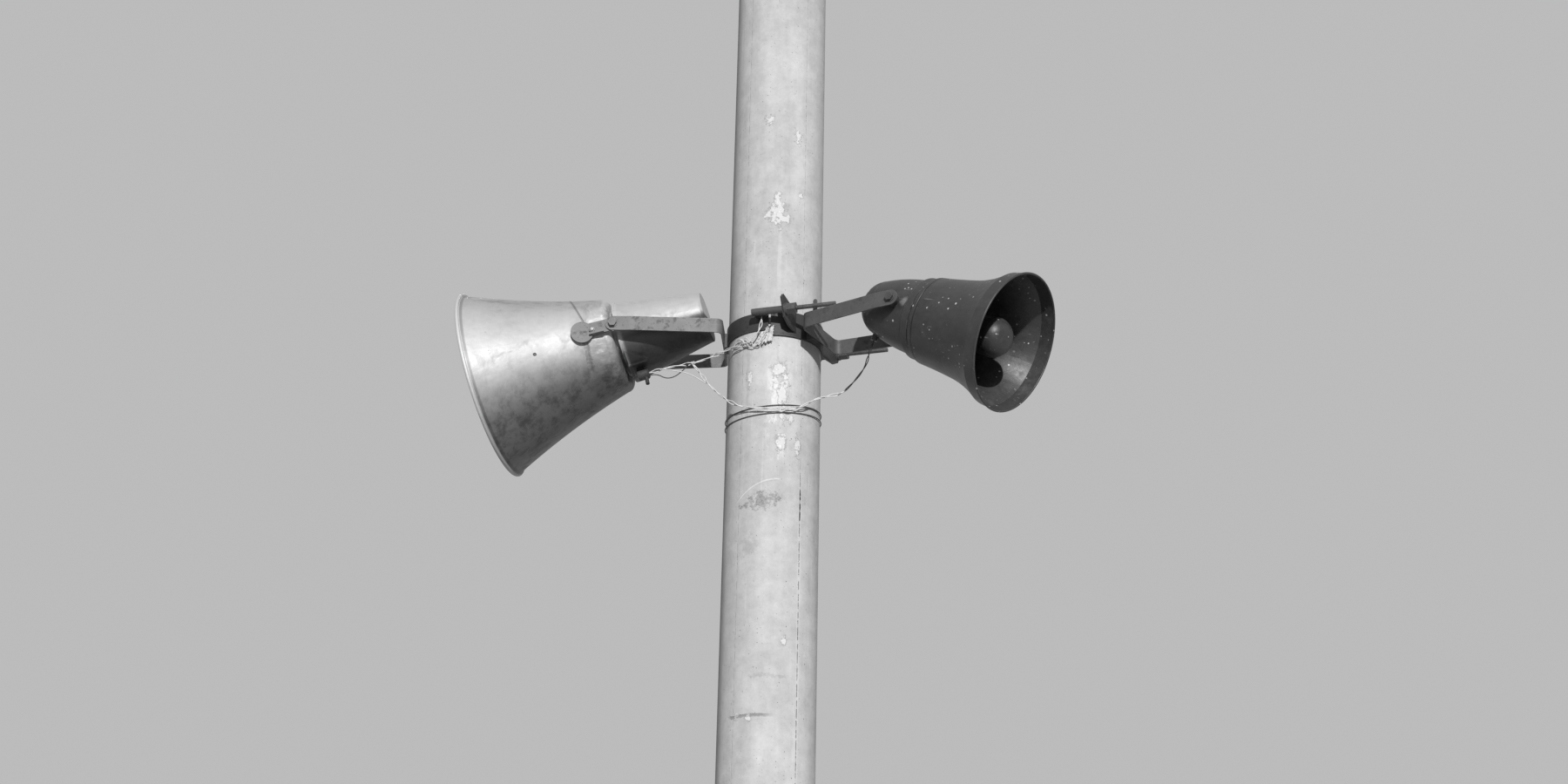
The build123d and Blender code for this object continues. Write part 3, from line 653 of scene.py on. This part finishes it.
def on_pole(azimuth, height, radius):
    """A point before the pole in millimetres, from its azimuth off the camera's side in degrees."""
    angle = radians(azimuth)
    return radius * sin(angle), -radius * cos(angle), height


def lathed(profile, place, segments=24):
    """Points and faces of a turned form: (radius, height) pairs in millimetres, about a frame's Y axis."""
    points = []
    faces = []
    for radius, height in profile:
        for segment in range(segments):
            angle = 2 * pi * segment / segments
            point = Vector((radius * cos(angle), height, radius * sin(angle)))
            points.append(place @ (point / 1000))
    for ring in range(len(profile) - 1):
        for segment in range(segments):
            a = ring * segments + segment
            b = ring * segments + (segment + 1) % segments
            faces.append((a, a + segments, b + segments, b))
    last = (len(profile) - 1) * segments
    faces.append(tuple(range(segments)))
    faces.append(tuple(last + segment for segment in range(segments))[::-1])
    return points, faces


def slab(rows, thickness):
    """Points and faces of a thin closed sheet before the pole, from rows of (azimuth, height, radius)."""
    columns = len(rows[0])
    count = len(rows) * columns
    front = [Vector(on_pole(*point)) / 1000 for row in rows for point in row]
    back = []
    for row in rows:
        for azimuth, height, radius in row:
            back.append(Vector(on_pole(azimuth, height, radius - thickness)) / 1000)
    faces = []
    for row in range(len(rows) - 1):
        for column in range(columns - 1):
            a = row * columns + column
            b = a + columns
            faces.append((a, a + 1, b + 1, b))
            faces.append((count + a, count + b, count + b + 1, count + a + 1))
    rim = list(range(columns))
    rim += [row * columns + columns - 1 for row in range(1, len(rows))]
    rim += [(len(rows) - 1) * columns + column for column in range(columns - 2, -1, -1)]
    rim += [row * columns for row in range(len(rows) - 2, 0, -1)]
    for a, b in zip(rim, rim[1:] + rim[:1]):
        faces.append((a, count + a, count + b, b))
    return front + back, faces


def length_of(line):
    """A line's length."""
    return sum((after - before).length for before, after in zip(line, line[1:]))


def blended_left(piece):
    """Bakes a piece's placement on the large horn's wires into its points."""
    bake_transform(piece)


def add_wraps(left):
    """The turns that tie the wires to each other, and the tangle where the left pair meets the strap."""
    pieces = []
    for name, place, turns, radius, wire_r, material in (
        ("left_wire_wrap", (-190, -33, 3823), 4, 0.0034, 0.0009, SLEEVE),
        ("left_strand_wrap", (-205, -33.5, 3819), 3, 0.0033, 0.0008, DARK_SLEEVE),
    ):
        piece = add_mesh(name, *wrap_at(left, place, turns, radius, wire_r), material)
        blended_left(piece)
        pieces.append(piece)
    strands = []
    for share, route in TANGLE:
        line = centre_line("tangle_route", [on_pole(*point) for point in route])
        strands.append(tube(line, STRAND_R * share))
    knot = add_mesh("left_wire_knot", *joined(strands), SLEEVE)
    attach(knot, "pole")
    return pieces + [knot]


def add_cords():
    """The speaker wires: two twisted pairs and the strands that have come loose from them."""
    left = centre_line("left_speaker_wire", LEFT_WIRE)
    cross = centre_line("cross_speaker_wire", CROSS_WIRE)
    loose = centre_line("left_loose_strand", LOOSE_STRAND)
    cross_loose = centre_line("cross_loose_strand", CROSS_STRAND)
    wraps = add_wraps(left)
    for name, line, material, parts in (
        ("left_pair", left, SLEEVE, wraps),
        ("cross_pair", cross, CROSS_SLEEVE, []),
    ):
        strands = [tube(wound(line, pair_reach, PAIR_PITCH, phase), STRAND_R) for phase in (0, pi)]
        piece = add_mesh(name, *joined(strands), material)
        if name == "left_pair":
            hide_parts("left_speaker_wire")
            blended_left(piece)
        else:
            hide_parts("cross_speaker_wire")
            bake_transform(piece)
        length_of(line)
    for name, line, node, material in (
        ("left_strand", loose, "left_loose_strand", DARK_SLEEVE),
        ("cross_strand", cross_loose, "cross_loose_strand", SLEEVE),
    ):
        piece = add_mesh(name, *tube(line, STRAND_R), material)
        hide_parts(node)
        blended_left(piece)
        length_of(line)


def add_hardware():
    """The threads on the clamp's rods, and a bolt on the large horn's link."""
    along = (BOLTS.to_3x3() @ Vector((1, 0, 0))).normalized()
    for name, side, start, end in THREADS:
        place = BOLTS @ Vector((0, side / 1000, THREAD_HEIGHT / 1000))
        ridge = coil(place, along, start / 1000, end / 1000, THREAD_R, THREAD_RIDGE_R, THREAD_PITCH)
        thread = add_mesh(name, *ridge, STEEL)
        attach(thread, "pole")
    bolt = add_mesh("left_link_bolt", *lathed(BOLT_HEAD, LEFT_LUGS @ shifted(50, 131, -3)), BRIGHT_STEEL)
    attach(bolt, "left_horn")


def add_plaster():
    """A torn patch of plaster at the strap, ragged at its edges and lifting at its foot."""
    last = 14
    rows = []
    for row in range(last + 1):
        v = row / last
        left_edge = -21 + 13 * v ** 1.4 + 1.3 * sin(row * 2.3) + 0.8 * sin(row * 5.1 + 1)
        right_edge = -3 + 2 * v + 0.6 * sin(row * 3.7)
        line = []
        for column in range(last + 1):
            u = column / last
            lower = 3838 + 10 * u + 3.0 * sin(column * 2.1) + 1.6 * sin(column * 4.7)
            upper = 3884 + 4 * u + 2.0 * sin(column * 2.9)
            curl = 2.5 * (1 - v) ** 2 * (0.5 + 0.5 * sin(column * 1.3))
            ripple = 0.5 * sin(row * 1.7 + column * 2.2)
            azimuth = left_edge + (right_edge - left_edge) * u
            line.append((azimuth, lower + (upper - lower) * v, 117.5 + curl + ripple))
        rows.append(line)
    patch = add_mesh("torn_plaster", *slab(rows, 1.3), PLASTER)
    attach(patch, "pole")


def pale_to_camera(tree, dim, pale):
    """A colour that is pale to the camera and in reflections, and dim in the light that it throws."""
    path = tree.nodes.new("ShaderNodeLightPath")
    seen = path.outputs["Is Camera Ray"]
    for kind in ("Is Glossy Ray", "Is Transmission Ray"):
        either = tree.nodes.new("ShaderNodeMath")
        either.operation = "MAXIMUM"
        tree.links.new(seen, either.inputs[0])
        tree.links.new(path.outputs[kind], either.inputs[1])
        seen = either.outputs[0]
    shade = tree.nodes.new("ShaderNodeMix")
    tree.links.new(seen, shade.inputs[0])
    shade.inputs[2].default_value = dim
    shade.inputs[3].default_value = pale
    return shade.outputs[0]


def add_floor():
    """A plain pale floor."""
    mesh = bpy.data.meshes.new("floor")
    half = 60.0
    corners = [(-half, -half, 0), (half, -half, 0), (half, half, 0), (-half, half, 0)]
    mesh.from_pydata(corners, [], [(0, 1, 2, 3)])
    floor = bpy.data.objects.new("floor", mesh)
    bpy.context.collection.objects.link(floor)
    material = bpy.data.materials.new("floor")
    material.use_nodes = True
    tree = material.node_tree
    shader = tree.nodes["Principled BSDF"]
    tree.links.new(pale_to_camera(tree, 0.14, 0.6), shader.inputs["Base Color"])
    shader.inputs["Roughness"].default_value = 0.9
    mesh.materials.append(material)


def add_light():
    """A low sun, a softer one from behind, and an even sky that the camera sees as plain pale grey."""
    world = bpy.data.worlds.new("sky")
    world.use_nodes = True
    tree = world.node_tree
    sky = tree.nodes["Background"]
    tree.links.new(pale_to_camera(tree, 0.2, 0.5), sky.inputs["Color"])
    bpy.context.scene.world = world
    for name, strength, spread, height, turn in LIGHTS:
        lamp = bpy.data.lights.new(name, "SUN")
        lamp.energy = strength
        lamp.angle = radians(spread)
        sun = bpy.data.objects.new(name, lamp)
        sun.rotation_euler = (radians(90 - height), 0, radians(turn))
        sun.visible_glossy = name == "key"
        bpy.context.collection.objects.link(sun)


def paint_nodes():
    """Gives every CAD node its material."""
    for name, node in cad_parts.items():
        if name in NODE_MATERIALS:
            material = NODE_MATERIALS[name]
        elif name.startswith("left"):
            material = SILVER
        else:
            material = GREY
        node.data.materials.clear()
        node.data.materials.append(material)


add_camera()
add_cords()
add_hardware()
add_plaster()
add_floor()
add_light()
paint_nodes()
bpy.context.scene.view_settings.view_transform = "Standard"
